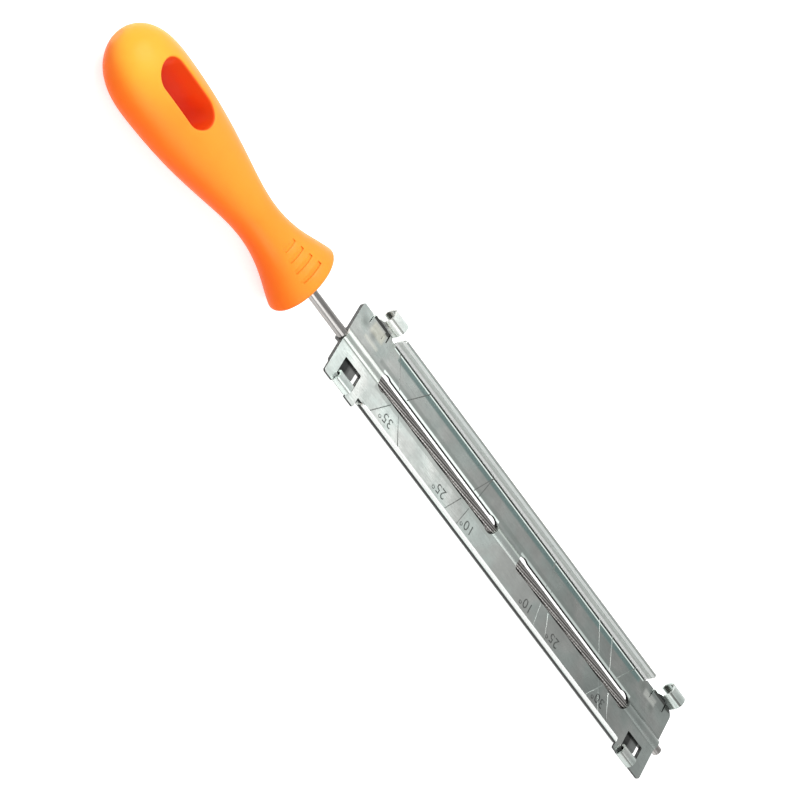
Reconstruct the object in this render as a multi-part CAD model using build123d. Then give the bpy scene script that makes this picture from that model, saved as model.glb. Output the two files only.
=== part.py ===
from build123d import *
import os
from math import copysign, cos, degrees, radians, sin, sqrt

# Saw-chain file guide: a round file with its handle, held between two hinged sheet-steel plates.
# X runs along the file from the handle to the tip, Z is up towards the marked side, and +Y is the side
# with the spring clips. The origin is on the file's axis, half way along the plates.

# Sheet and fits
sheet = 0.8                    # thickness of both plates
plate_gap = 0.05               # between the closed plates
file_fit = 0.05                # round the file in its ribs
side_fit = 0.2                 # between a tongue or hook and the cut-out it lies in
clip_fit = 0.05                # at the root of a spring clip
overrun = 1.0                  # how far cutters run past what they cut

# File
file_diameter = 4.0
shank_diameter = 3.85
tip_diameter = 3.6
tip_length = 3.5               # plain tip, without teeth
tip_reach = 3.6                # tip beyond the plates
tip_chamfer = 0.35
shank_gap = 23.6               # bare shank between handle and plates
shank_inside = 2.0             # smooth shank inside the plates
tang_length = 46.0
tang_side = 2.6                # of its square section at the shank
tang_end_side = 1.5
tang_fit = 0.02

# Plates
plate_length = 199.0
lower_face = 0.11              # underside of the lower plate above the file's axis
ear_length = 17.0              # wide ends of the upper plate
rear_ear_hinge_side = 17.0     # reach of the ears from the file's axis
front_ear_hinge_side = 16.3
ear_clip_side = 14.6
rear_ear_corner = 0.9
front_ear_hinge_corner = 1.3
front_ear_clip_corner = 2.6
middle_hinge_side = 12.8       # reach of the upper plate between the ears
middle_clip_side = 14.0
hinge_step_radius = 0.45
clip_step_radius = 0.25
rib_blend = 0.8
cradle_blend = 0.8

# Slots over and under the file
bridge_length = 13.8           # solid middle between the two slots
slot_end_gap = 20.0            # from the slots to the ends of the plates
slot_half_width = 2.78
slot_relief_radius = 3.3
lower_slot_half_width = 3.9
lower_slot_relief_radius = 4.3

# Side flanges of the lower plate
hinge_flange_reach = 15.3      # outer face from the file's axis
clip_flange_reach = 16.0
hinge_flange_top = 4.7
clip_flange_top = 5.5
hinge_flange_bend = 1.9        # inner radius of the bend
hinge_flange_end_radius = 2.4
hinge_flange_gap = 18.0        # from both ends of the plates
clip_flange_bend = 1.0
clip_flange_end_radius = 1.0
clip_flange_rear_gap = 19.4
clip_flange_front_gap = 17.0
lower_hinge_edge = 12.2        # edge of the lower plate beside the hinge hooks
lower_corner = 1.2

# Hinge hooks and their windows
hook_width = 7.0
rear_hook_gap = 4.9            # from the handle end of the plates
front_hook_gap = 6.9           # from the tip end of the plates
hook_axis_y = -14.4
hook_axis_z = 1.95
hook_inner_radius = 1.42
hook_turn = 295.0              # degrees
hook_joggle_radius = 1.2
window_length = 9.0
window_inner_edge = 6.15
window_corner = 0.35
hinge_bar_width = 1.85

# Spring clips and the lips that they hold
clip_width = 6.9               # of the curl
clip_root_lead = 3.3           # how far the root starts before the curl
rear_clip_gap = 9.8            # from the handle end of the plates
front_clip_gap = 1.6           # from the tip end of the plates
clip_root = 13.2               # where the clip leaves the lower plate
clip_face = 14.75              # inner face of the upright neck
clip_bend = 0.3                # inner radius of the root bend
clip_curl_z = 3.5              # height of the curl's centre
clip_curl_radius = 2.75        # to the middle of the sheet
clip_curl_turn = 250.0         # degrees
lip_width = 7.1
lip_lead = 4.1                 # how far the lip starts before the curl
lip_root = 10.6
lip_edge = 14.4
lip_rise = 1.0
lip_bend = 1.2
rear_slit_gap = 15.1           # from the handle end of the plates to the slit beside the lip
front_slit_gap = 4.35          # from the tip end of the plates
slit_width = 0.45
slit_depth = 3.5

# Handle: half width and half thickness at stations from the butt, as an oval
handle_length = 106.4
belly_half_width = 15.7
belly_half_thickness = 11.0
waist_half_width = 8.2
waist_half_thickness = 6.95
flare_half_width = 15.0        # at the nose, before its rim is rounded
flare_half_thickness = 12.0
nose_radius = 1.4
hang_slot_length = 26.4
hang_slot_width = 12.0
hang_slot_station = 26.8       # from the butt to the slot's middle
hang_slot_rim = 0.8
groove_pitch = 3.65
groove_width = 1.3
groove_depth = 0.45
groove_station = 90.1          # from the butt to the first groove
groove_reach_hinge_side = 8.0  # of the longest groove
groove_reach_clip_side = 1.3

# Sizes that follow
plate_half = plate_length / 2
slot_length = plate_half - slot_end_gap - bridge_length / 2
hook_starts = (-plate_half + rear_hook_gap, plate_half - front_hook_gap - hook_width)
clip_starts = (-plate_half + rear_clip_gap, plate_half - front_clip_gap - clip_width)
slit_starts = (-plate_half + rear_slit_gap, plate_half - front_slit_gap - slit_width)
hinge_flange_span = (-plate_half + hinge_flange_gap, plate_half - hinge_flange_gap)
clip_flange_span = (-plate_half + clip_flange_rear_gap, plate_half - clip_flange_front_gap)
file_radius = file_diameter / 2
bore_radius = file_radius + file_fit
rib_radius = bore_radius + sheet
lower_top = lower_face + sheet
upper_face = lower_top + plate_gap
upper_top = upper_face + sheet
shank_end = -plate_half - shank_gap
file_tip = plate_half + tip_reach
butt = shank_end - handle_length
upright = 90.0                 # degrees from a flat sheet to its turned-up edge


def along_x(face, start, length):
    """A face drawn with Y to the right and Z up, carried along X."""
    return extrude(Plane.YZ.offset(start) * face, length)


def bent_sheet(start, heading, moves, thickness):
    """The outline of a sheet from its mid line: runs (length,) and bends (radius, degrees to the left)."""
    x, y = start
    angle = heading
    left, right = [], []

    def offset_point(cx, cy, direction, distance):
        return cx - distance * sin(radians(direction)), cy + distance * cos(radians(direction))

    half = thickness / 2
    for move in moves:
        if len(move) == 1:
            nx = x + move[0] * cos(radians(angle))
            ny = y + move[0] * sin(radians(angle))
            left.append(Line(offset_point(x, y, angle, half), offset_point(nx, ny, angle, half)))
            right.append(Line(offset_point(x, y, angle, -half), offset_point(nx, ny, angle, -half)))
            x, y = nx, ny
            continue
        radius, turn = move
        side = 1 if turn > 0 else -1
        centre = offset_point(x, y, angle, side * radius)
        middle, end = angle + turn / 2, angle + turn
        for edges, shift in ((left, half), (right, -half)):
            reach = side * radius - shift
            points = [offset_point(*centre, direction, -reach) for direction in (angle, middle, end)]
            edges.append(ThreePointArc(*points))
        x, y = offset_point(*centre, end, -side * radius)
        angle = end
    caps = [Line(left[0] @ 0, right[0] @ 0), Line(left[-1] @ 1, right[-1] @ 1)]
    return make_face(left + right + caps)


def rounded(face, radius, keep):
    """The face with the corners that pass the test rounded."""
    return fillet([v for v in face.vertices() if keep(v)], radius)


def plan_solid(face, bottom, top):
    """A plan face carried up from one height to another."""
    return extrude(Plane.XY.offset(bottom) * face, top - bottom)


def through_y(face):
    """A face drawn with X to the right and Z up, carried through the whole width."""
    reach = rear_ear_hinge_side + clip_curl_radius + clip_flange_reach
    return extrude(Plane.XZ.offset(-reach) * face, 2 * reach)


def plan_box(x_from, x_to, y_from, y_to):
    """A rectangle in plan between its edges."""
    middle = ((x_from + x_to) / 2, (y_from + y_to) / 2)
    return Pos(*middle) * Rectangle(x_to - x_from, y_to - y_from)


def slots(half_width, relief_radius):
    """The two long openings over the file, with round reliefs at their ends."""
    plan = Sketch()
    extra = relief_radius - slot_relief_radius
    for side in (-1, 1):
        inner = bridge_length / 2 - extra
        outer = bridge_length / 2 + slot_length + extra
        middle = side * (inner + outer) / 2
        plan += Pos(middle, 0) * Rectangle(outer - inner - 2 * relief_radius, 2 * half_width)
        for station in (inner + relief_radius, outer - relief_radius):
            plan += Pos(side * station, 0) * Circle(relief_radius)
    return plan


def lip_span(start):
    """The stretch along X of the lip that a clip holds."""
    return start - lip_lead, start - lip_lead + lip_width


def make_upper_plate():
    """The marked plate: flat wings, a half-round rib, slots, hinge windows and two raised lips."""
    flat = Pos(0, (upper_face + upper_top) / 2) * Rectangle(2 * (rear_ear_hinge_side + overrun), sheet)
    above = Pos(0, upper_face + rib_radius / 2) * Rectangle(2 * rib_radius, rib_radius)
    section = flat + (Circle(rib_radius) & above)
    rib_foot = sqrt(rib_radius**2 - upper_top**2)
    section = rounded(section, rib_blend, lambda v: abs(abs(v.X) - rib_foot) < sheet / 10)
    section -= Circle(bore_radius)
    body = along_x(section, -plate_half, plate_length)

    plan = plan_box(-plate_half, plate_half, -middle_hinge_side, middle_clip_side)
    plan += plan_box(-plate_half, ear_length - plate_half, -rear_ear_hinge_side, ear_clip_side)
    plan += plan_box(plate_half - ear_length, plate_half, -front_ear_hinge_side, ear_clip_side)
    for radius, end, sides in ((rear_ear_corner, -plate_half, (-1, 1)),
                               (front_ear_hinge_corner, plate_half, (-1,)),
                               (front_ear_clip_corner, plate_half, (1,))):
        plan = rounded(plan, radius, lambda v: abs(v.X - end) < sheet and copysign(1, v.Y) in sides)
    for radius, side in ((hinge_step_radius, -1), (clip_step_radius, 1)):
        plan = rounded(plan, radius, lambda v: abs(abs(v.X) - plate_half + ear_length) < sheet
                       and v.Y * side > 0)
    plan -= slots(slot_half_width, slot_relief_radius)
    bar_edge = -hook_axis_y - hinge_bar_width / 2
    for start in hook_starts:
        near = start - side_fit
        window = plan_box(near, near + window_length, -bar_edge, -window_inner_edge)
        plan -= fillet(window.vertices(), window_corner)
        plan -= plan_box(near, start + hook_width + side_fit, -rear_ear_hinge_side - overrun,
                         hook_axis_y - hinge_bar_width / 2)
    for start in clip_starts:
        lip_start, lip_end = lip_span(start)
        plan -= plan_box(lip_start - side_fit, lip_end + side_fit, lip_root, ear_clip_side + overrun)
    for start in slit_starts:
        plan -= plan_box(start, start + slit_width, ear_clip_side - slit_depth, ear_clip_side + overrun)
    plate = body & plan_solid(plan, upper_face - overrun, rib_radius + overrun)

    run = lip_edge - lip_root
    tilt = lip_rise / run
    path = [(sheet,), (lip_bend, degrees(tilt)), (run - lip_bend * tilt,)]
    lip = bent_sheet((lip_root - sheet, (upper_face + upper_top) / 2), 0, path, sheet)
    for start in clip_starts:
        lip_start, lip_end = lip_span(start)
        plate += along_x(lip, lip_start, lip_end - lip_start)
    return plate


def make_flange(side, span, reach, top, bend, end_radius):
    """One turned-up edge of the lower plate, with rounded ends."""
    mid_radius = bend + sheet / 2
    bend_start = reach - sheet - bend
    rise = top - lower_face - sheet / 2 - mid_radius
    section = bent_sheet((bend_start - sheet, lower_face + sheet / 2), 0,
                         [(sheet,), (mid_radius, upright), (rise,)], sheet)
    if side < 0:
        section = mirror(section, Plane.YZ)
    length = span[1] - span[0]
    strip = along_x(section, span[0], length)
    height = top - lower_face + overrun
    profile = Pos((span[0] + span[1]) / 2, top - height / 2) * Rectangle(length, height)
    profile = rounded(profile, end_radius, lambda v: v.Y > lower_top)
    return strip & through_y(profile)


def make_hook(start):
    """One hinge hook: a lanced strip that dips under the bar of the upper plate and curls over it."""
    mid_radius = hook_inner_radius + sheet / 2
    dip = lower_face + sheet / 2 - (hook_axis_z - mid_radius)
    bend = degrees(sqrt(dip / hook_joggle_radius))
    bend_reach = 2 * hook_joggle_radius * sin(radians(bend))
    drop = dip - 2 * hook_joggle_radius * (1 - cos(radians(bend)))
    slope = drop / sin(radians(bend))
    run = window_inner_edge + sheet
    first = (-hook_axis_y - run + 2 * sheet - bend_reach - slope * cos(radians(bend))) / 2
    rest = -hook_axis_y - window_inner_edge + sheet - first - bend_reach - slope * cos(radians(bend))
    path = [(first,), (hook_joggle_radius, bend), (slope,), (hook_joggle_radius, -bend), (rest,),
            (mid_radius, -hook_turn)]
    section = bent_sheet((-window_inner_edge + sheet, lower_face + sheet / 2), 180, path, sheet)
    return along_x(section, start, hook_width)


def make_lower_plate():
    """The plate that carries everything: cradles, slots, flanges and hinge hooks."""
    flat = Pos(0, (lower_face + lower_top) / 2) * Rectangle(2 * (ear_clip_side + overrun), sheet)
    below = Pos(0, lower_top - rib_radius) * Rectangle(2 * rib_radius, 2 * rib_radius)
    section = flat + (Circle(rib_radius) & below)
    cradle_foot = sqrt(rib_radius**2 - lower_face**2)
    section = rounded(section, cradle_blend, lambda v: abs(abs(v.X) - cradle_foot) < sheet / 10)
    section -= Circle(bore_radius)
    section -= Pos(0, bore_radius / 2) * Rectangle(2 * bore_radius, bore_radius)
    body = along_x(section, -plate_half, plate_length)

    plan = plan_box(-plate_half, plate_half, -lower_hinge_edge, ear_clip_side)
    plan = rounded(plan, lower_corner, lambda v: True)
    bend_start = clip_flange_reach - sheet - clip_flange_bend
    plan -= plan_box(*clip_flange_span, bend_start, ear_clip_side + overrun)
    bend_start = hinge_flange_reach - sheet - hinge_flange_bend
    plan += plan_box(*hinge_flange_span, -bend_start, 0)
    plan -= slots(lower_slot_half_width, lower_slot_relief_radius)
    for start in hook_starts:
        near = start - side_fit
        plan -= plan_box(near, near + window_length, -lower_hinge_edge - overrun, -window_inner_edge)
    for start in clip_starts:
        plan -= plan_box(start - clip_root_lead - side_fit, start + clip_width + side_fit,
                         clip_root - clip_fit, ear_clip_side + overrun)
    plate = body & plan_solid(plan, -rib_radius - overrun, lower_top + overrun)
    plate += make_flange(-1, hinge_flange_span, hinge_flange_reach, hinge_flange_top, hinge_flange_bend,
                         hinge_flange_end_radius)
    plate += make_flange(1, clip_flange_span, clip_flange_reach, clip_flange_top, clip_flange_bend,
                         clip_flange_end_radius)
    for start in hook_starts:
        plate += make_hook(start)
    return plate


def make_clip(start):
    """One spring clip: a wide flat root, a neck with one slanted side and a thumb curl that opens outward."""
    mid_bend = clip_bend + sheet / 2
    run = clip_face - clip_bend - clip_root
    neck = clip_curl_z - lower_top - clip_bend
    origin = (clip_root, lower_face + sheet / 2)
    path = [(run,), (mid_bend, upright), (neck,)]
    root = along_x(bent_sheet(origin, 0, path, sheet), start - clip_root_lead, clip_root_lead + sheet)
    far = start - clip_root_lead - overrun
    slant = Polyline([(start - clip_root_lead, lower_top), (start, clip_curl_z),
                      (start, clip_curl_z + overrun), (far, clip_curl_z + overrun), (far, lower_top)],
                     close=True)
    root -= through_y(make_face(slant))
    section = bent_sheet(origin, 0, path + [(clip_curl_radius, -clip_curl_turn)], sheet)
    return root + along_x(section, start, clip_width)


def square_taper(sides):
    """A square bar along X through its sides at the given stations."""
    return loft([Plane.YZ.offset(x) * Rectangle(side, side) for x, side in sides], ruled=True)


def make_file():
    """The round file: tapered square tang, smooth shank, toothed length and plain tip."""
    half_shank = shank_diameter / 2
    half_tip = tip_diameter / 2
    teeth_start = -plate_half + shank_inside
    tip_start = file_tip - tip_length
    outline = Polyline([
        (shank_end, 0), (shank_end, half_shank), (teeth_start, half_shank), (teeth_start, file_radius),
        (tip_start, file_radius), (tip_start, half_tip), (file_tip - tip_chamfer, half_tip),
        (file_tip, half_tip - tip_chamfer), (file_tip, 0)], close=True)
    tang = square_taper([(shank_end - tang_length, tang_end_side), (shank_end, tang_side)])
    return revolve(make_face(outline), Axis.X) + tang


# Share of the handle's length, and how far each oval has gone from one named section to the next
butt_shares = ((0.0, 0.13), (0.032, 0.617), (0.1175, 0.949), (0.2256, 1.0))
fade_shares = ((0.4088, 0.80), (0.5742, 0.37), (0.7585, 0.0))
flare_shares = ((0.869, 0.28), (0.9455, 0.72), (1.0, 1.0))

# Share of the full reach of each groove, from the waist to the nose
groove_shares = (0.6, 0.75, 0.9, 1.0)


def handle_stations():
    """Every oval of the handle as station, half width and half thickness."""
    ovals = []
    for place, share in butt_shares:
        ovals.append((place, belly_half_width * share, belly_half_thickness * share))
    for table, wide in ((fade_shares, (belly_half_width, belly_half_thickness)),
                        (flare_shares, (flare_half_width, flare_half_thickness))):
        for place, share in table:
            half_width = waist_half_width + (wide[0] - waist_half_width) * share
            half_thickness = waist_half_thickness + (wide[1] - waist_half_thickness) * share
            ovals.append((place, half_width, half_thickness))
    return [(butt + place * handle_length, width, thickness) for place, width, thickness in ovals]


def oval_at(x, ovals):
    """Half width and half thickness of the handle between two of its ovals."""
    for (x0, w0, t0), (x1, w1, t1) in zip(ovals, ovals[1:]):
        if x0 <= x <= x1:
            share = (x - x0) / (x1 - x0)
            return w0 + (w1 - w0) * share, t0 + (t1 - t0) * share
    return ovals[-1][1:]


def make_handle():
    """The moulded grip: oval belly with a hanging slot, narrow waist, flared nose with grip grooves."""
    ovals = handle_stations()
    grip = loft([Plane.YZ.offset(x) * Ellipse(width, thickness) for x, width, thickness in ovals])
    grip = fillet(grip.faces().sort_by(Axis.X)[-1].edges(), nose_radius)
    slot_x = butt + hang_slot_station
    height = belly_half_thickness + overrun
    slot = Pos(slot_x, 0) * SlotOverall(hang_slot_length, hang_slot_width)
    grip -= plan_solid(slot, -height, height)
    rim = [edge for edge in grip.edges()
           if abs(edge.center().X - slot_x) < hang_slot_length / 2
           and abs(edge.center().Y) <= hang_slot_width / 2 + hang_slot_rim
           and edge.bounding_box().size.Z < belly_half_thickness]
    grip = fillet(rim, hang_slot_rim)
    for index, share in enumerate(groove_shares):
        x = butt + groove_station + index * groove_pitch
        half_width, half_thickness = oval_at(x, ovals)
        band = plan_box(x - groove_width / 2, x + groove_width / 2,
                        -groove_reach_hinge_side * share, groove_reach_clip_side * share)
        cutter = plan_solid(band, 0, half_thickness + 2 * overrun)
        core = Ellipse(half_width - groove_depth, half_thickness - groove_depth)
        cutter -= along_x(core, x - groove_width, 2 * groove_width)
        grip -= cutter
    bore_side = tang_side + 2 * tang_fit
    bore_end = shank_end - tang_length - tang_fit
    return grip - square_taper([(bore_end, tang_end_side + 2 * tang_fit), (shank_end, bore_side),
                                (shank_end + overrun, bore_side)])


nodes = {
    "handle": make_handle(),
    "file": make_file(),
    "lower_plate": make_lower_plate(),
    "upper_plate": make_upper_plate(),
    "latch_clip_rear": make_clip(clip_starts[0]),
    "latch_clip_front": make_clip(clip_starts[1]),
}

os.makedirs("parts", exist_ok=True)
for name, solid in nodes.items():
    export_step(solid, f"parts/{name}.step")
    box = solid.bounding_box()
    print(name, "solids", len(solid.solids()), "volume", round(solid.volume, 1),
          "from", [round(value, 2) for value in box.min], "to", [round(value, 2) for value in box.max])
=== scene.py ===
from math import cos, pi, radians, sin, tan

import bmesh
import bpy
import numpy as np
from mathutils import Matrix, Vector


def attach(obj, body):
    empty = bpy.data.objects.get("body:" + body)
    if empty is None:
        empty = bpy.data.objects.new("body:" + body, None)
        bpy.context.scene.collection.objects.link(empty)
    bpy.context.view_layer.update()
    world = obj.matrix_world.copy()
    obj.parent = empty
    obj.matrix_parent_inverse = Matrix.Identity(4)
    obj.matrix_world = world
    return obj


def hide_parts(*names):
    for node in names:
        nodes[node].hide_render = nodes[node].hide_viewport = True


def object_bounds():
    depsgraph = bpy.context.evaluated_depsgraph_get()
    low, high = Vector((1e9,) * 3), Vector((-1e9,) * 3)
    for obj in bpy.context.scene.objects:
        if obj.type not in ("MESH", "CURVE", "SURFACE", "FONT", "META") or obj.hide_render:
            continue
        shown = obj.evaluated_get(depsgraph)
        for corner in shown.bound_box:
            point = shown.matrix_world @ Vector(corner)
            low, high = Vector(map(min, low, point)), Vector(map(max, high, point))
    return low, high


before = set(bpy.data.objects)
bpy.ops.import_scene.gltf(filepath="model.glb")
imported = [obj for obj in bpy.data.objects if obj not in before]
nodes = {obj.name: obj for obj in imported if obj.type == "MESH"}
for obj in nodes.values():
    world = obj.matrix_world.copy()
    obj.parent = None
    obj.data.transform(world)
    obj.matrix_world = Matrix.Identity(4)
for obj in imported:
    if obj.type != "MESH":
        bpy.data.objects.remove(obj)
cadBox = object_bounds()
collection = bpy.context.scene.collection
mm = 0.001
print("frame loaded with", len(nodes), "nodes")

# what the whole picture shares
picture = {
    "size": 800,                            # pixels, square
    "azimuth": -37.5, "elevation": 41.9,    # degrees, as the photograph looks at the plates
    "roll": 53.03,                          # how steeply the file runs down to the right
    "lookAt": (-99.5 * mm, 0, 0),           # handle end of the plates, on the file's axis
    "lookAtPixel": (342.4, 333.7),
    "distance": 1.45, "focalPixels": 4480,
}


def placeCamera():
    # the camera stands on the line of sight through lookAt that azimuth and elevation give, the roll turns
    # the file's axis in the picture, and a last small turn brings lookAt to its pixel
    p = picture
    azimuth, elevation, roll = (radians(p[key]) for key in ("azimuth", "elevation", "roll"))
    back = Vector((sin(azimuth) * cos(elevation), -cos(azimuth) * cos(elevation), sin(elevation)))
    along = (Vector((1, 0, 0)) - back * back.x).normalized()
    across = back.cross(along)
    right = along * cos(roll) + across * sin(roll)
    up = across * cos(roll) - along * sin(roll)
    toPixel = Vector(((p["lookAtPixel"][0] - p["size"] / 2) / p["focalPixels"],
                      (p["size"] / 2 - p["lookAtPixel"][1]) / p["focalPixels"], -1)).normalized()
    straight = Matrix((right, up, back)).transposed()
    turn = (straight @ toPixel).rotation_difference(-back).to_matrix() @ straight
    data = bpy.data.cameras.new("camera")
    data.sensor_width = 36
    data.lens = p["focalPixels"] / p["size"] * data.sensor_width
    camera = bpy.data.objects.new("camera", data)
    place = Vector(p["lookAt"]) + back * p["distance"]
    camera.matrix_world = Matrix.Translation(place) @ turn.to_4x4()
    collection.objects.link(camera)
    bpy.context.scene.camera = camera
    print("camera placed", [round(value, 3) for value in place])


placeCamera()

studio = {
    "floorSize": 6.0, "floorColour": (0.84, 0.84, 0.84), "floorGlow": 0.66,
    "worldLight": 0.55,                     # on the object
    # what metal sees overhead, between the heights where it starts to dim and where it is dimmest
    "overhead": 0.62, "dimFrom": 0.35, "dimTo": 0.85,
    # and towards the camera, where the room is dark: direction, darkness, and the cosines of the angle from
    # that direction where it starts to dim and where it is dimmest
    "darkSide": (-0.453, -0.59, 0.668), "darkSideLevel": 0.1, "darkSideEdges": (0.78, 0.95),
    "lamps": {
        "key": {"place": (-0.75, 0.55, 1.5), "size": 1.1, "power": 19},
        "fill": {"place": (0.3, -1.1, 0.9), "size": 1.0, "power": 7},
    },
}


def addNode(tree, kind, inputs=None, **settings):
    # a node with its settings; an input that is given as an output of another node is linked to it
    node = tree.nodes.new(kind)
    for key, value in settings.items():
        setattr(node, key, value)
    for key, value in (inputs or {}).items():
        if isinstance(value, bpy.types.NodeSocket):
            tree.links.new(value, node.inputs[key])
        else:
            node.inputs[key].default_value = value
    return node


def addMath(tree, operation, *values):
    node = addNode(tree, "ShaderNodeMath", dict(enumerate(values)), operation=operation)
    return node.outputs[0]


def addMix(tree, amount, first, second, blend="MIX"):
    node = addNode(tree, "ShaderNodeMix", {0: amount, 6: first, 7: second}, data_type="RGBA", blend_type=blend)
    return node.outputs[2]


def addRange(tree, value, low, high, toLow=0.0, toHigh=1.0, smooth=True):
    node = addNode(tree, "ShaderNodeMapRange", {0: value, 1: low, 2: high, 3: toLow, 4: toHigh},
                   interpolation_type="SMOOTHSTEP" if smooth else "LINEAR")
    return node.outputs[0]


def newMaterial(name, **sockets):
    # a material whose Principled shader has the given even values on its own sockets
    material = bpy.data.materials.new(name)
    material.use_nodes = True
    shader = material.node_tree.nodes["Principled BSDF"]
    for key, value in sockets.items():
        shader.inputs[key.replace("_", " ")].default_value = value
    return material, material.node_tree, shader


def seenAsBackground(tree):
    # 1 for rays that show the background itself: from the camera, in gloss and through glass; also returns
    # the Light Path node that tells them apart
    path = addNode(tree, "ShaderNodeLightPath")
    seen = addMath(tree, "MAXIMUM", path.outputs["Is Camera Ray"], path.outputs["Is Glossy Ray"])
    return addMath(tree, "MAXIMUM", seen, path.outputs["Is Transmission Ray"]), path


def buildStudio():
    s = studio
    material = bpy.data.materials.new("paleFloor")
    material.use_nodes = True
    tree = material.node_tree
    tree.nodes.clear()
    seen = seenAsBackground(tree)[0]
    diffuse = addNode(tree, "ShaderNodeBsdfDiffuse", {"Color": (*s["floorColour"], 1)})
    glow = addNode(tree, "ShaderNodeEmission", {"Strength": addMath(tree, "MULTIPLY", seen, s["floorGlow"])})
    both = addNode(tree, "ShaderNodeAddShader", {0: diffuse.outputs[0], 1: glow.outputs[0]})
    addNode(tree, "ShaderNodeOutputMaterial", {"Surface": both.outputs[0]})
    half, low = s["floorSize"] / 2, cadBox[0][2]
    mesh = bpy.data.meshes.new("floor")
    mesh.from_pydata([(-half, -half, low), (half, -half, low), (half, half, low), (-half, half, low)], [],
                     [(0, 1, 2, 3)])
    mesh.materials.append(material)
    floor = bpy.data.objects.new("floor", mesh)
    collection.objects.link(floor)

    # the world lights evenly; the camera sees it white, metal sees it dimmer overhead and towards the camera
    world = bpy.data.worlds.new("studioWorld")
    world.use_nodes = True
    tree = world.node_tree
    background = tree.nodes["Background"]
    seen, path = seenAsBackground(tree)
    place = addNode(tree, "ShaderNodeTexCoord").outputs["Generated"]
    height = addNode(tree, "ShaderNodeSeparateXYZ", {0: place}).outputs["Z"]
    above = addRange(tree, height, s["dimFrom"], s["dimTo"], 1.0, s["overhead"])
    toCamera = addNode(tree, "ShaderNodeVectorMath", {0: place, 1: s["darkSide"]},
                       operation="DOT_PRODUCT").outputs["Value"]
    dark = addRange(tree, toCamera, *s["darkSideEdges"], 1.0, s["darkSideLevel"])
    glossy = addMath(tree, "MULTIPLY", above, dark)
    shown = addMath(tree, "ADD", addMath(tree, "MULTIPLY", path.outputs["Is Glossy Ray"],
                                         addMath(tree, "SUBTRACT", glossy, 1.0)), 1.0)
    strength = addMath(tree, "ADD", s["worldLight"],
                       addMath(tree, "MULTIPLY", seen, addMath(tree, "SUBTRACT", shown, s["worldLight"])))
    background.inputs["Color"].default_value = (1, 1, 1, 1)
    tree.links.new(strength, background.inputs["Strength"])
    bpy.context.scene.world = world
    for name, lamp in s["lamps"].items():
        light = bpy.data.lights.new(name, "AREA")
        light.size = lamp["size"]
        light.energy = lamp["power"]
        placed = bpy.data.objects.new(name, light)
        placed.location = lamp["place"]
        placed.rotation_euler = (-Vector(lamp["place"])).to_track_quat("-Z", "Y").to_euler()
        collection.objects.link(placed)
    bpy.context.scene.view_settings.view_transform = "Standard"
    print("studio built")


buildStudio()


def newGroup(name, inputs, outputs):
    # an empty shader node group with its sockets; returns the tree, its input node and its output node
    tree = bpy.data.node_groups.new(name, "ShaderNodeTree")
    for label, kind, value in inputs:
        socket = tree.interface.new_socket(name=label, in_out="INPUT", socket_type=kind)
        socket.default_value = value
    for label, kind in outputs:
        tree.interface.new_socket(name=label, in_out="OUTPUT", socket_type=kind)
    return tree, tree.nodes.new("NodeGroupInput"), tree.nodes.new("NodeGroupOutput")


coatGrain = {
    # noise scales a metre: soft blotches, finer clouds, patches of tint, specks, and grain drawn out along X
    "blotchScale": 45.0, "fineScale": 170.0, "tintScale": 80.0, "speckScale": 1400.0,
    "rolledScale": (260.0, 2600.0, 2600.0),
    "tintEdges": (0.38, 0.62), "plainTint": (0.96, 1.0, 0.955, 1),
    "grainShare": 0.6, "grainEdges": (0.3, 0.7), "grainShades": (0.9, 1.08),
    "blotchShare": 0.6, "cloudEdges": (0.36, 0.64), "cloudShades": (1.09, 0.88),
    "roughnessSpread": 0.25, "relief": 0.02 * mm,
}


def addNoise(tree, place, scale, detail):
    return addNode(tree, "ShaderNodeTexNoise", {"Vector": place, "Scale": scale, "Detail": detail}).outputs[0]


def addShares(tree, first, second, share):
    # share of the first value and the rest of the second
    return addMath(tree, "ADD", addMath(tree, "MULTIPLY", first, share),
                   addMath(tree, "MULTIPLY", second, 1 - share))


def addGrey(tree, colour, shade, red=None):
    # the colour times a grey of the given shade; red is kept at its own value where it is given
    grey = addNode(tree, "ShaderNodeCombineColor", {0: shade if red is None else red, 1: shade, 2: shade})
    return addMix(tree, 1.0, colour, grey.outputs[0], "MULTIPLY")


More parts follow.
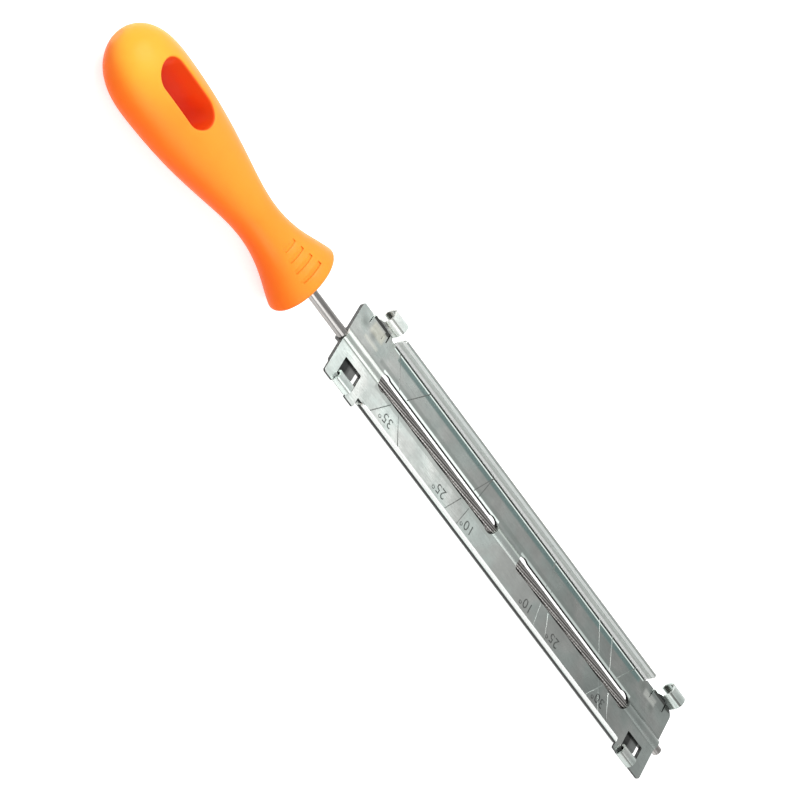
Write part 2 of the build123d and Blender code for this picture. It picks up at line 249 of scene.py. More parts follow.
def buildZincGroup():
    # rolled and zinc-plated sheet: soft blotches, a faint tint and fine grain over the tone that comes in
    tree, given, made = newGroup("zincCoat", [
        ("Vector", "NodeSocketVector", (0, 0, 0)), ("Tone", "NodeSocketColor", (0.6, 0.6, 0.6, 1)),
        ("Tint", "NodeSocketColor", (0.94, 1.0, 0.97, 1)), ("Roughness", "NodeSocketFloat", 0.3)],
        [("Color", "NodeSocketColor"), ("Roughness", "NodeSocketFloat"), ("Height", "NodeSocketFloat")])
    c = coatGrain
    place = given.outputs["Vector"]
    blotch = addNoise(tree, place, c["blotchScale"], 3.0)
    fine = addNoise(tree, place, c["fineScale"], 3.0)
    tint = addNoise(tree, place, c["tintScale"], 2.0)
    hue = addMix(tree, addRange(tree, tint, *c["tintEdges"]), given.outputs["Tint"], c["plainTint"])
    tinted = addMix(tree, 1.0, given.outputs["Tone"], hue, "MULTIPLY")
    rolled = addNode(tree, "ShaderNodeMapping", {"Vector": place, "Scale": c["rolledScale"]})
    grain = addNoise(tree, rolled.outputs[0], 1.0, 2.0)
    speck = addNoise(tree, place, c["speckScale"], 2.0)
    both = addShares(tree, grain, speck, c["grainShare"])
    cloud = addShares(tree, blotch, fine, c["blotchShare"])
    shade = addMath(tree, "MULTIPLY", addRange(tree, both, *c["grainEdges"], *c["grainShades"], smooth=False),
                    addRange(tree, cloud, *c["cloudEdges"], *c["cloudShades"]))
    tree.links.new(addGrey(tree, tinted, shade), made.inputs["Color"])
    spread = addMath(tree, "MULTIPLY", addMath(tree, "SUBTRACT", blotch, 0.5), c["roughnessSpread"])
    tree.links.new(addMath(tree, "ADD", given.outputs["Roughness"], spread), made.inputs["Roughness"])
    tree.links.new(addMath(tree, "MULTIPLY", both, c["relief"]), made.inputs["Height"])
    return tree


def buildDentGroup():
    # a shallow round dent: 1 in the middle, falling smoothly to 0 at the radius
    tree, given, made = newGroup("pressedDent", [
        ("Vector", "NodeSocketVector", (0, 0, 0)), ("Centre", "NodeSocketVector", (0, 0, 0)),
        ("Radius", "NodeSocketFloat", 0.003)], [("Mask", "NodeSocketFloat")])
    gap = addNode(tree, "ShaderNodeVectorMath", {0: given.outputs["Vector"], 1: given.outputs["Centre"]},
                  operation="DISTANCE").outputs["Value"]
    tree.links.new(addRange(tree, gap, 0.0, given.outputs["Radius"], 1.0, 0.0), made.inputs["Mask"])
    return tree


def buildBoxGroup():
    # 1 inside the box between two corners, fading to 0 over the softness outside it
    tree, given, made = newGroup("softBox", [
        ("Vector", "NodeSocketVector", (0, 0, 0)), ("Low", "NodeSocketVector", (0, 0, 0)),
        ("High", "NodeSocketVector", (0, 0, 0)), ("Softness", "NodeSocketFloat", 0.0005)],
        [("Mask", "NodeSocketFloat")])
    low, high, soft = given.outputs["Low"], given.outputs["High"], given.outputs["Softness"]
    under = addNode(tree, "ShaderNodeVectorMath", {0: low, 1: soft}, operation="SUBTRACT").outputs[0]
    over = addNode(tree, "ShaderNodeVectorMath", {0: high, 1: soft}, operation="ADD").outputs[0]
    sides = []
    for start, end, toLow, toHigh in ((under, low, 0.0, 1.0), (high, over, 1.0, 0.0)):
        side = addNode(tree, "ShaderNodeMapRange", {6: given.outputs["Vector"], 7: start, 8: end,
                                                    9: (toLow,) * 3, 10: (toHigh,) * 3},
                       data_type="FLOAT_VECTOR", interpolation_type="SMOOTHSTEP")
        sides.append(side.outputs[1])
    both = addNode(tree, "ShaderNodeVectorMath", {0: sides[0], 1: sides[1]}, operation="MULTIPLY").outputs[0]
    x, y, z = addNode(tree, "ShaderNodeSeparateXYZ", {0: both}).outputs[:3]
    tree.links.new(addMath(tree, "MULTIPLY", x, addMath(tree, "MULTIPLY", y, z)), made.inputs["Mask"])
    return tree


zincCoat = buildZincGroup()
pressedDent = buildDentGroup()
softBox = buildBoxGroup()

zincFinish = {
    # tone along the plates at these places in mm, on the hinge side and on the clip side
    "toneAt": (-99, -55, -25, 20, 60, 99),
    "hingeTone": (0.80, 0.80, 0.62, 0.41, 0.27, 0.33), "clipTone": (0.64, 0.50, 0.41, 0.31, 0.28, 0.30),
    "lowerTone": (0.72, 0.66, 0.60, 0.56, 0.50, 0.46), "curlTone": (0.82, 0.82, 0.80, 0.76, 0.62, 0.56),
    "tint": (0.89, 0.99, 0.94, 1), "roughness": 0.27,
    # pale stretches, the painted highlights among them, are made less metallic so that they show whiter:
    # metallic at the first brightness and at the second
    "paleFrom": 0.55, "paleTo": 0.95, "metallic": (0.85, 0.0),
    "wallShade": (0.05, 0.052, 0.05, 1),              # painted shade on the sheared walls of the sheet
    # painted light and shade on the plating: low and high corner, softness, all in mm, then colour
    # and strength
    "upperPaintedLight": (
        # painted shade as a teal band, a painted highlight as a pale line and a painted shadow as a dark rim
        # along the clip side
        ((-76, 11.2, 0.5), (79, 12.3, 3), 0.9, (0.16, 0.24, 0.232, 1), 0.85),
        ((-80, 12.8, 0.5), (81, 13.15, 3), 0.12, (0.86, 0.95, 0.91, 1), 0.9),
        ((-80, 13.35, 0.5), (81, 14.2, 3), 0.12, (0.03, 0.033, 0.03, 1), 0.95),
        # painted highlights on the slot rims of the clip side, and soft painted shade beside the slots
        ((-79, 3.0, 1.5), (-7.4, 3.85, 1.95), 0.2, (0.88, 0.97, 0.92, 1), 0.95),
        ((7.4, 3.0, 1.5), (79, 3.85, 1.95), 0.2, (0.70, 0.78, 0.74, 1), 0.8),
        ((-79, -4.2, 1.5), (-7.4, -2.9, 1.95), 0.4, (0.44, 0.47, 0.44, 1), 0.5),
        ((-82, 4.3, 0.5), (82, 5.2, 1.95), 0.9, (0.20, 0.235, 0.215, 1), 0.4),
        # painted shade as a dull line along the hinge side
        ((-80, -13, 0.5), (80, -12.3, 3), 0.5, (0.30, 0.34, 0.32, 1), 0.45),
        # painted shade at the foot of the rib, and painted warm reflections on the lips of the ears
        ((-101, 2.3, 1.9), (-78, 2.85, 2.6), 0.2, (0.10, 0.11, 0.10, 1), 0.9),
        ((-91.5, 9.6, 1.7), (-86, 12, 2.4), 1.6, (0.78, 0.76, 0.62, 1), 0.5),
        ((-92.5, 5.8, 1.7), (-86, 6.2, 1.9), 1.0, (0.80, 0.80, 0.70, 1), 0.45),
        ((84, 9.8, 1.7), (90, 11.4, 2.4), 1.0, (0.62, 0.64, 0.60, 1), 0.6),
        # painted shade on one side of the rib and a painted highlight on the other, the same on the bridge,
        # and painted shade along their feet
        ((-101, -2.5, 1.7), (-78, -0.6, 4), 0.4, (0.46, 0.50, 0.46, 1), 0.75),
        ((-101, 0.2, 1.9), (-78, 2.0, 4.6), 0.4, (0.95, 1.0, 0.94, 1), 0.75),
        ((-9, 0.6, 1.9), (9, 2.0, 4.6), 0.4, (0.66, 0.72, 0.67, 1), 0.6),
        ((-9, 2.3, 1.9), (9, 2.75, 2.6), 0.25, (0.12, 0.13, 0.12, 1), 0.6),
        ((78, 2.3, 1.9), (101, 2.75, 2.6), 0.25, (0.08, 0.09, 0.08, 1), 0.7),
        # painted shadow along the edges of the lips under the clips
        ((-93.6, 13.3, 0.9), (-84.4, 15, 3), 0.15, (0.03, 0.03, 0.028, 1), 0.9),
        ((87.2, 13.3, 0.9), (98, 15, 3), 0.15, (0.05, 0.05, 0.048, 1), 0.85),
    ),
    "lowerPaintedLight": (
        # painted highlights and shade in bands up the flange on the clip side
        ((-83, 14, 0), (84, 15.3, 0.8), 0.2, (0.03, 0.033, 0.03, 1), 0.95),
        ((-83, 14, 1.0), (84, 16.5, 1.9), 0.15, (0.98, 1.0, 0.98, 1), 1.0),
        ((-83, 14, 2.1), (84, 15.6, 3.5), 0.25, (0.84, 0.88, 0.84, 1), 0.9),
        ((-83, 14, 3.8), (84, 15.3, 5.3), 0.15, (0.98, 1.0, 0.98, 1), 1.0),
        ((-83, 15.25, 5.3), (84, 16.5, 6), 0.1, (0.40, 0.42, 0.40, 1), 0.9),
        # painted highlight on the top and painted shade on the face of the flange on the hinge side
        ((-83, -16, 3.95), (83, -13, 6), 0.2, (0.90, 0.92, 0.90, 1), 0.95),
        ((-83, -16, 0), (83, -15.15, 3.3), 0.2, (0.02, 0.021, 0.02, 1), 1.0),
        # painted shade as a dark line and a dull foot on the hinge hooks
        ((-96, -17, 3.2), (96, -15.4, 3.45), 0.12, (0.10, 0.10, 0.09, 1), 0.75),
        ((-96, -17, -0.5), (-84, -15, 1.1), 0.3, (0.36, 0.37, 0.35, 1), 0.6),
        # painted shade on what shows through the hinge windows
        ((-94.7, -13, -2), (-91, -6, 1), 1.2, (0.01, 0.01, 0.01, 1), 0.93),
        ((-91, -13, -2), (-87.4, -6, 1), 0.8, (0.14, 0.145, 0.14, 1), 0.85),
        ((85.4, -13, -2), (89, -6, 1), 1.2, (0.01, 0.01, 0.01, 1), 0.93),
        ((89, -13, -2), (92.7, -6, 1), 0.8, (0.14, 0.145, 0.14, 1), 0.85),
    ),
    "clipPaintedLight": (    # these hold for both clips, so they have no ends along X
        # painted shade inside the curl and on its far side, and painted bands of shade down its face
        ((-400, 15.9, 1.6), (400, 19.9, 5.4), 0.3, (0.075, 0.072, 0.06, 1), 0.85),
        ((-400, 19.4, 5.0), (400, 22, 7), 0.3, (0.30, 0.30, 0.28, 1), 0.6),
        ((-400, 12, 5.75), (400, 17.8, 6.1), 0.12, (0.10, 0.10, 0.09, 1), 0.8),
        ((-400, 12, 3.5), (400, 15.8, 4.0), 0.15, (0.22, 0.22, 0.20, 1), 0.7),
        ((-400, 12, 0), (400, 15.5, 1.7), 0.25, (0.34, 0.35, 0.33, 1), 0.7),
    ),
    "dents": (((-95.6, 9.3, 1.76), 3.2), ((-90.0, 8.0, 1.76), 2.6), ((81.5, 10.8, 1.76), 3.6),
              ((89.0, 7.6, 1.76), 2.6)),
    # dents are sunk by dentDepth in the bump, and darkened with a painted shade of dentStrength
    "dentDepth": 0.22 * mm, "dentStrength": 0.4, "dentShade": (0.14, 0.17, 0.15, 1),
    "sideBlend": 3,                                 # mm from the axis where one side's tone is full
    "wallEdges": (0.35, 0.8), "cutFade": 0.1,       # upright share of a wall's normal, and mm above the cut
}


def toneAlong(tree, x, places, tones):
    # a grey tone that runs along X through the given places
    ramp = tree.nodes.new("ShaderNodeValToRGB")
    low, high = places[0] * mm, places[-1] * mm
    tree.links.new(addRange(tree, x, low, high, smooth=False), ramp.inputs[0])
    stops = ramp.color_ramp.elements
    while len(stops) < len(places):
        stops.new(0.5)
    for stop, place, tone in zip(stops, places, tones):
        stop.position = (place * mm - low) / (high - low)
        stop.color = (tone, tone, tone, 1)
    return ramp.outputs[0]


def zincMaterial(name, tones, paintedLight=(), dents=(), otherTones=None, cutBelow=None):
    # the zinc coat over a tone that runs along the plate, with painted light and shade and dents placed in
    # Object coordinates; otherTones are those of the clip side, and cutBelow is the height under which walls
    # are cut edges, which take a painted shade
    z = zincFinish
    material, tree, shader = newMaterial(name)
    coords = addNode(tree, "ShaderNodeTexCoord")
    place = coords.outputs["Object"]
    x, y, height = addNode(tree, "ShaderNodeSeparateXYZ", {0: place}).outputs[:3]
    colour = toneAlong(tree, x, z["toneAt"], tones)
    if otherTones:
        colour = addMix(tree, addRange(tree, y, -z["sideBlend"] * mm, z["sideBlend"] * mm), colour,
                        toneAlong(tree, x, z["toneAt"], otherTones))
    coat = addNode(tree, "ShaderNodeGroup", {"Vector": place, "Tone": colour, "Tint": z["tint"],
                                             "Roughness": z["roughness"]}, node_tree=zincCoat)
    colour, relief = coat.outputs["Color"], coat.outputs["Height"]
    # painted light and shade: each box mixes its colour over the plating
    for low, high, soft, tone, strength in paintedLight:
        box = addNode(tree, "ShaderNodeGroup", {
            "Vector": place, "Low": [value * mm for value in low], "High": [value * mm for value in high],
            "Softness": soft * mm}, node_tree=softBox)
        colour = addMix(tree, addMath(tree, "MULTIPLY", box.outputs[0], strength), colour, tone)
    # each dent is sunk in the bump and darkened with a painted shade
    for centre, radius in dents:
        dent = addNode(tree, "ShaderNodeGroup", {"Vector": place, "Centre": [value * mm for value in centre],
                                                 "Radius": radius * mm}, node_tree=pressedDent)
        relief = addMath(tree, "SUBTRACT", relief, addMath(tree, "MULTIPLY", dent.outputs[0], z["dentDepth"]))
        colour = addMix(tree, addMath(tree, "MULTIPLY", dent.outputs[0], z["dentStrength"]), colour,
                        z["dentShade"])
    if cutBelow is not None:
        # painted shade: the sheared walls under cutBelow are darkened
        upright = addNode(tree, "ShaderNodeSeparateXYZ", {0: coords.outputs["Normal"]}).outputs[2]
        wall = addRange(tree, addMath(tree, "ABSOLUTE", upright), *z["wallEdges"], 1.0, 0.0)
        low = addRange(tree, height, cutBelow * mm, (cutBelow + z["cutFade"]) * mm, 1.0, 0.0)
        colour = addMix(tree, addMath(tree, "MULTIPLY", wall, low), colour, z["wallShade"])
    bump = addNode(tree, "ShaderNodeBump", {"Height": relief, "Strength": 1.0, "Distance": 1.0})
    brightness = addNode(tree, "ShaderNodeRGBToBW", {0: colour}).outputs[0]
    tree.links.new(addRange(tree, brightness, z["paleFrom"], z["paleTo"], *z["metallic"]),
                   shader.inputs["Metallic"])
    tree.links.new(colour, shader.inputs["Base Color"])
    tree.links.new(coat.outputs["Roughness"], shader.inputs["Roughness"])
    tree.links.new(bump.outputs[0], shader.inputs["Normal"])
    return material


z = zincFinish
upperZinc = zincMaterial("upperZinc", z["hingeTone"], z["upperPaintedLight"], z["dents"], z["clipTone"], 1.78)
lowerZinc = zincMaterial("lowerZinc", z["lowerTone"], z["lowerPaintedLight"], cutBelow=0.93)
clipZinc = zincMaterial("clipZinc", z["curlTone"], z["clipPaintedLight"])
print("zinc finishes made")


def mergedCopy(node, name, body, materials, edges):
    # a copy of the CAD node: its loose triangles merged, flat ones joined, sharp edges lightly rounded
    mesh = nodes[node].data.copy()
    mesh.name = name
    work = bmesh.new()
    work.from_mesh(mesh)
    bmesh.ops.remove_doubles(work, verts=work.verts, dist=edges["merge"])
    if edges["flatAngle"]:
        bmesh.ops.dissolve_limit(work, angle_limit=radians(edges["flatAngle"]), verts=work.verts,
                                 edges=work.edges)
    work.to_mesh(mesh)
    work.free()
    mesh.materials.clear()
    for material in materials:
        mesh.materials.append(material)
    mesh.shade_smooth()
    mesh.set_sharp_from_angle(angle=radians(edges["sharpAngle"]))
    piece = bpy.data.objects.new(name, mesh)
    collection.objects.link(piece)
    bevel = piece.modifiers.new("edgeRound", "BEVEL")
    bevel.limit_method = "ANGLE"
    bevel.angle_limit = radians(edges["sharpAngle"])
    bevel.width = edges["width"]
    bevel.segments = edges["segments"]
    bevel.harden_normals = edges["harden"]
    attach(piece, body)
    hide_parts(node)
    return piece


sheetEdges = {"merge": 0.001 * mm, "flatAngle": 0.4, "sharpAngle": 32, "width": 0.1 * mm, "segments": 2,
              "harden": True}
mergedCopy("lower_plate", "lowerPlate", "holder", [lowerZinc], sheetEdges)
upperPlate = mergedCopy("upper_plate", "upperPlate", "lid", [upperZinc],
                        sheetEdges | {"harden": False})
mergedCopy("latch_clip_rear", "rearClip", "rear_clip", [clipZinc], sheetEdges)
mergedCopy("latch_clip_front", "frontClip", "front_clip", [clipZinc], sheetEdges)
print("sheet pieces dressed")

stamps = {
    "top": 1.76, "edge": 14.4, "inner": 3.3,      # upper face, and outer and inner ends of the lines
    "width": 0.36, "depth": 0.13,
    # where each line crosses the file's axis, and how far it leans from square, in degrees
    "lines": ((-67.5, 35), (-67.5, -35), (67.5, 30), (67.5, -30)),
    # lines that start at these places on the clip side, some of them together, and their lean
    "fans": ((-18.2, -25), (-18.2, -10), (21.8, 10), (21.8, 25), (51.1, 35)), "fanStart": 13.6,
    "numerals": (("35°", -68.8), ("25°", -35.8), ("10°", -18.3), ("10°", 19.4), ("25°", 36.5),
                 ("30°", 66.5)),
    "numeralY": -8.5, "numeralHeight": 3.8, "numeralDepth": 0.1, "numeralMerge": 0.002 * mm,
    "fontShare": 1.39,                            # a font's size for numerals of height 1
    "sharpAngle": 20,
    # painted shade in the stamped marks, along X
    "numeralShade": (0.24, 0.22, 0.18, 0.16, 0.12, 0.11), "grooveShade": (0.28, 0.24, 0.22, 0.34, 0.46, 0.42),
}


def grooveCutter():
    # V-shaped bars, one for each stretch of line on a wing: across each line the points
    # (-w, up), (w, up) and (0, -depth) are carried from its start to its end
    s = stamps
    starts, ends = [], []
    for x, lean in s["lines"]:
        for side in (-1, 1):
            starts.append((x + side * s["inner"] * tan(radians(lean)), side * s["inner"]))
            ends.append((x + side * s["edge"] * tan(radians(lean)), side * s["edge"]))
    for x, lean in s["fans"]:
        for near, far in ((s["edge"], s["inner"]), (-s["inner"], -s["edge"])):
            starts.append((x + (s["fanStart"] - near) * tan(radians(lean)), near))
            ends.append((x + (s["fanStart"] - far) * tan(radians(lean)), far))
    starts, ends = np.array(starts), np.array(ends)
    along = ends - starts
    along /= np.linalg.norm(along, axis=1, keepdims=True)
    across = np.stack((-along[:, 1], along[:, 0]), axis=1)
    rise = s["depth"]
    profile = np.array(((-s["width"], rise), (s["width"], rise), (0.0, -s["depth"])))
    corners = np.zeros((len(starts), 2, 3, 3))
    for row, points in enumerate((starts, ends)):
        corners[:, row, :, :2] = points[:, None] + across[:, None] * profile[None, :, :1]
        corners[:, row, :, 2] = s["top"] + profile[:, 1]
    faces = np.array(((0, 1, 4, 3), (1, 2, 5, 4), (2, 0, 3, 5)))
    caps = np.array(((0, 2, 1), (3, 4, 5)))
    base = np.arange(len(starts))[:, None, None] * 6
    mesh = bpy.data.meshes.new("grooveCutter")
    mesh.from_pydata((corners.reshape(-1, 3) * mm).tolist(), [],
                     (faces + base).reshape(-1, 4).tolist() + (caps + base).reshape(-1, 3).tolist())
    return mesh


def numeralCutter():
    # each numeral as an extruded text turned to read towards the handle, sunk into the upper face
    s = stamps
    work = bmesh.new()
    for text, x in s["numerals"]:
        curve = bpy.data.curves.new("numeral", "FONT")
        curve.body = text
        curve.size = s["numeralHeight"] * s["fontShare"]
        curve.extrude = s["numeralDepth"]
        curve.align_x, curve.align_y = "CENTER", "CENTER"
        writer = bpy.data.objects.new("numeral", curve)
        collection.objects.link(writer)
        bpy.context.view_layer.update()
        mesh = bpy.data.meshes.new_from_object(writer.evaluated_get(bpy.context.evaluated_depsgraph_get()))
        mesh.transform(Matrix.Translation((x * mm, s["numeralY"] * mm, s["top"] * mm))
                       @ Matrix.Rotation(pi, 4, "Z") @ Matrix.Scale(mm, 4))
        work.from_mesh(mesh)
        bpy.data.objects.remove(writer)
    bmesh.ops.remove_doubles(work, verts=work.verts, dist=s["numeralMerge"])
    mesh = bpy.data.meshes.new("numeralCutter")
    work.to_mesh(mesh)
    work.free()
    return mesh


# the stamped marks take a painted shade
numeralZinc = zincMaterial("numeralZinc", stamps["numeralShade"])
grooveZinc = zincMaterial("grooveZinc", stamps["grooveShade"])


def stampMarks(plate):
    # the marks are cut out of the rounded plate, and their walls take the painted shade of the marks
    cutters = []
    for mesh, material in ((grooveCutter(), grooveZinc), (numeralCutter(), numeralZinc)):
        mesh.materials.append(material)
        work = bmesh.new()
        work.from_mesh(mesh)
        bmesh.ops.recalc_face_normals(work, faces=work.faces)
        work.to_mesh(mesh)
        work.free()
        cutter = bpy.data.objects.new(mesh.name, mesh)
        collection.objects.link(cutter)
        cut = plate.modifiers.new(mesh.name, "BOOLEAN")
        cut.operation = "DIFFERENCE"
        cut.solver = "EXACT"
        cut.use_self = True
        cut.material_mode = "TRANSFER"
        cut.object = cutter
        cutters.append(cutter)
    bpy.context.view_layer.update()
    stamped = bpy.data.meshes.new_from_object(plate.evaluated_get(bpy.context.evaluated_depsgraph_get()))
    plate.modifiers.clear()
    stamped.shade_smooth()
    stamped.set_sharp_from_angle(angle=radians(stamps["sharpAngle"]))
    plate.data = stamped
    # large faces count for more, so the slivers that the cuts leave don't bend the light on the flat face
    even = plate.modifiers.new("evenNormals", "WEIGHTED_NORMAL")
    even.mode = "FACE_AREA"
    even.weight = 100
    even.keep_sharp = True
    for cutter in cutters:
        bpy.data.objects.remove(cutter)
    print("marks stamped,", len(stamped.polygons), "faces,", len(stamped.materials), "finishes")


stampMarks(upperPlate)

fileShape = {
    "tangEnd": -169.1, "shankEnd": -123.1, "teethStart": -97.5, "teethEnd": 99.6, "tip": 103.1,
    "tangHalf": (0.75, 1.3), "shankRadius": 1.925, "radius": 2.0, "tipRadius": 1.8, "chamfer": 0.35,
    "around": 104, "toothRows": 520, "starts": 15, "turnLength": 190.0, "toothDepth": 0.08,
    "ridgeShare": 0.78, "fadeLength": 1.5, "shoulder": 0.2, "sharpAngle": 38,
}


def gridPiece(name, points, heights):
    # a closed tube: rows of points along the piece, each row a ring, the first and last ring shut by a fan;
    # heights are kept on the points for the material
    rows, around = points.shape[:2]
    ring = np.arange(around)
    start = (np.arange(rows - 1) * around)[:, None]
    quads = np.stack((start + ring, start + (ring + 1) % around, start + around + (ring + 1) % around,
                      start + around + ring), axis=2).reshape(-1, 4)
    middle = points[[0, -1]].mean(axis=1)
    last = rows * around
    fans = [np.stack((np.full(around, last), (ring + 1) % around, ring), axis=1),
            np.stack((np.full(around, last + 1), last - around + ring, last - around + (ring + 1) % around),
                     axis=1)]
    mesh = bpy.data.meshes.new(name)
    mesh.from_pydata((np.concatenate((points.reshape(-1, 3), middle)) * mm).tolist(), [],
                     quads.tolist() + np.concatenate(fans).tolist())
    layer = mesh.attributes.new("toothHeight", "FLOAT", "POINT")
    layer.data.foreach_set("value", np.concatenate((heights.ravel(), (0.0, 0.0))).astype(np.float32))
    mesh.shade_smooth()
    mesh.set_sharp_from_angle(angle=radians(fileShape["sharpAngle"]))
    piece = bpy.data.objects.new(name, mesh)
    collection.objects.link(piece)
    return piece


def fileSurface():
    # radius over station and angle: a square taper for the tang, round for the shank, and on the toothed
    # length a saw wave of starts * (angle / 2 pi + station / turnLength), steep on one side of each ridge
    f = fileShape
    tang = np.array((f["tangEnd"], f["shankEnd"]))
    plain = np.array((f["shankEnd"], f["teethStart"] - f["shoulder"]))
    teeth = np.linspace(f["teethStart"], f["teethEnd"], f["toothRows"])
    tip = np.array((f["teethEnd"], f["tip"] - f["chamfer"], f["tip"]))
    stations = np.concatenate((tang, plain, teeth, tip))
    angle = np.linspace(0, 2 * pi, f["around"], endpoint=False) + pi / 4
    radius = np.ones((len(stations), f["around"]))
    square = 1 / np.maximum(np.abs(np.cos(angle)), np.abs(np.sin(angle)))
    radius[:2] = np.array(f["tangHalf"])[:, None] * square
    radius[2:4] = f["shankRadius"]
    phase = f["starts"] * (angle[None] / (2 * pi) + teeth[:, None] / f["turnLength"])
    saw = phase % 1.0
    ridge = np.where(saw < f["ridgeShare"], saw / f["ridgeShare"], (1 - saw) / (1 - f["ridgeShare"]))
    ends = np.minimum(teeth - f["teethStart"], f["teethEnd"] - teeth)
    fade = np.clip(ends / f["fadeLength"], 0, 1)[:, None]
    radius[4:-3] = f["radius"] - f["toothDepth"] * (1 - ridge) * fade
    radius[-3:-1] = f["tipRadius"]
    radius[-1] = f["tipRadius"] - f["chamfer"]
    heights = np.full(radius.shape, 0.5)
    heights[4:-3] = ridge * fade + 0.5 * (1 - fade)
    points = np.stack((np.broadcast_to(stations[:, None], radius.shape), radius * np.cos(angle),
                       radius * np.sin(angle)), axis=2)
    return points, heights


fileFinish = {
    # painted shade in the valleys of the teeth and a painted highlight on their crests; the shank keeps its
    # steel tone
    "valleyShade": (0.10, 0.096, 0.09, 1), "crest": (0.52, 0.505, 0.49, 1), "shank": (0.31, 0.30, 0.29, 1),
    "cutScale": 238.732415, "cutBend": 0.6,       # fine bands across the teeth, about 1.3 mm apart
    "startFade": 1.0 * mm, "endFade": 0.1 * mm,   # where the teeth begin and end
    "ridgeNoiseScale": 900.0, "ridgeNoiseShare": 0.3, "ridgeEdges": (0.55, 1.15),
    "drawnScale": (120.0, 2400.0, 2400.0), "drawnEdges": (0.3, 0.7), "drawnShades": (0.75, 1.25),
    "roughness": (0.22, 0.32), "relief": 0.02 * mm,  # roughness of the shank and of the teeth
}


def buildFile():
    f = fileFinish
    material, tree, shader = newMaterial("cutSteel", Metallic=1.0)
    place = addNode(tree, "ShaderNodeTexCoord").outputs["Object"]
    crest = addNode(tree, "ShaderNodeAttribute", attribute_name="toothHeight").outputs["Fac"]
    x = addNode(tree, "ShaderNodeSeparateXYZ", {0: place}).outputs[0]
    start, end = fileShape["teethStart"] * mm, fileShape["teethEnd"] * mm
    cut = addMath(tree, "MULTIPLY", addRange(tree, x, start, start + f["startFade"]),
                  addRange(tree, x, end - f["endFade"], end, 1.0, 0.0))
    # noise breaks up the painted highlight on the crests
    ridgeNoise = addMath(tree, "MULTIPLY", addNoise(tree, place, f["ridgeNoiseScale"], 3.0), f["ridgeNoiseShare"])
    ridge = addRange(tree, addMath(tree, "ADD", crest, ridgeNoise), *f["ridgeEdges"])
    toothed = addMix(tree, ridge, f["valleyShade"], f["crest"])
    drawn = addNode(tree, "ShaderNodeMapping", {"Vector": place, "Scale": f["drawnScale"]})
    lines = addNoise(tree, drawn.outputs[0], 1.0, 3.0)
    shade = addRange(tree, lines, *f["drawnEdges"], *f["drawnShades"], smooth=False)
    plain = addGrey(tree, f["shank"], shade)
    tree.links.new(addMix(tree, cut, plain, toothed), shader.inputs["Base Color"])
    tree.links.new(addRange(tree, cut, 0.0, 1.0, *f["roughness"]), shader.inputs["Roughness"])
    wave = addNode(tree, "ShaderNodeTexWave", {
        "Vector": place, "Scale": f["cutScale"], "Distortion": f["cutBend"]},
        wave_type="BANDS", bands_direction="X").outputs["Fac"]
    marks = addMath(tree, "ADD", addMath(tree, "MULTIPLY", wave, cut), lines)
    bump = addNode(tree, "ShaderNodeBump", {"Height": addMath(tree, "MULTIPLY", marks, f["relief"]),
                                            "Strength": 1.0, "Distance": 1.0})
    tree.links.new(bump.outputs[0], shader.inputs["Normal"])
    piece = gridPiece("roundFile", *fileSurface())
    piece.data.materials.append(material)
    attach(piece, "file_and_handle")
    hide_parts("file")
    print("file made,", len(piece.data.polygons), "faces")


buildFile()

gripFinish = {
    "paintedLit": (1.0, 0.355, 0.038, 1), "paintedShaded": (1.0, 0.145, 0.001, 1), "butt": (1.0, 0.52, 0.05, 1),
    "paintedSlotLight": (1.0, 0.105, 0.012, 1),
    "lightFrom": (-0.1, 0.62, 0.78),             # painted light: faces turned this way are painted lit, faces turned away painted shaded
    "buttStart": -229.5 * mm, "buttEnd": -196.0 * mm,
    "holeMiddle": -202.7 * mm, "holeStraight": 7.2 * mm, "holeRadius": 6.1 * mm, "holeFade": 0.5 * mm,
    # how far a face looks towards lightFrom, from where the painted light starts to tell to where it is full
    "paintedLightEdges": (-0.75, 0.75), "buttEdges": (-0.3, 0.6),
    "cloudScale": 55.0, "cloudEdges": (0.3, 0.7), "cloudShades": (0.95, 1.04), "roughness": (0.32, 0.42),
    "peelScale": 700.0, "peelRelief": 0.03 * mm,
    "edges": {"merge": 0.001 * mm, "flatAngle": 0, "sharpAngle": 34, "width": 0.18 * mm, "segments": 2,
              "harden": True},
}


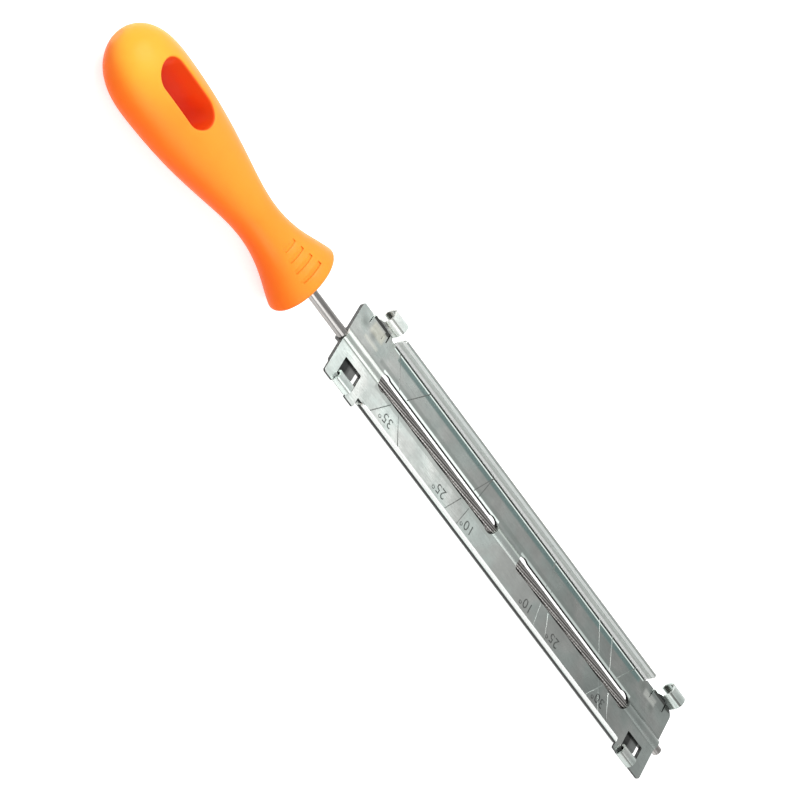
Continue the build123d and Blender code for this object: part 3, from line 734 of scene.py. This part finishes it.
def buildGrip():
    g = gripFinish
    material, tree, shader = newMaterial("orangePlastic", Metallic=0.0, Subsurface_Weight=0.12,
                                         Subsurface_Radius=(1.0, 0.35, 0.05), Subsurface_Scale=0.004,
                                         Specular_IOR_Level=0.16)
    coords = addNode(tree, "ShaderNodeTexCoord")
    place = coords.outputs["Object"]
    # painted light and shade: the grip takes its lit colour on faces that look towards lightFrom, its shaded
    # colour on the others
    facing = addNode(tree, "ShaderNodeVectorMath", {0: coords.outputs["Normal"], 1: g["lightFrom"]},
                     operation="DOT_PRODUCT").outputs["Value"]
    colour = addMix(tree, addRange(tree, facing, *g["paintedLightEdges"]), g["paintedShaded"], g["paintedLit"])
    x, y = addNode(tree, "ShaderNodeSeparateXYZ", {0: place}).outputs[:2]
    # near the butt, faces that look towards lightFrom are painted yellower still
    butt = addMath(tree, "MULTIPLY", addRange(tree, x, g["buttStart"], g["buttEnd"], 1.0, 0.0),
                   addRange(tree, facing, *g["buttEdges"]))
    colour = addMix(tree, butt, colour, g["butt"])
    # painted light inside the hanging slot, the deeper red of light passing through the plastic: less than its
    # radius away from the line between its two ends
    past = addMath(tree, "SUBTRACT", addMath(tree, "ABSOLUTE", addMath(tree, "SUBTRACT", x, g["holeMiddle"])),
                   g["holeStraight"])
    past = addMath(tree, "MAXIMUM", past, 0.0)
    away = addMath(tree, "SQRT", addMath(tree, "ADD", addMath(tree, "MULTIPLY", past, past),
                                         addMath(tree, "MULTIPLY", y, y)))
    inside = addRange(tree, away, g["holeRadius"], g["holeRadius"] + g["holeFade"], 1.0, 0.0)
    colour = addMix(tree, inside, colour, g["paintedSlotLight"])
    cloud = addNoise(tree, place, g["cloudScale"], 3.0)
    shade = addRange(tree, cloud, *g["cloudEdges"], *g["cloudShades"])
    tree.links.new(addGrey(tree, colour, shade, red=1.0), shader.inputs["Base Color"])
    tree.links.new(addRange(tree, cloud, *g["cloudEdges"], *g["roughness"]), shader.inputs["Roughness"])
    peel = addMath(tree, "MULTIPLY", addNoise(tree, place, g["peelScale"], 2.0), g["peelRelief"])
    bump = addNode(tree, "ShaderNodeBump", {"Height": peel, "Strength": 1.0, "Distance": 1.0})
    tree.links.new(bump.outputs[0], shader.inputs["Normal"])
    mergedCopy("handle", "grip", "file_and_handle", [material], g["edges"])
    print("grip dressed")


buildGrip()
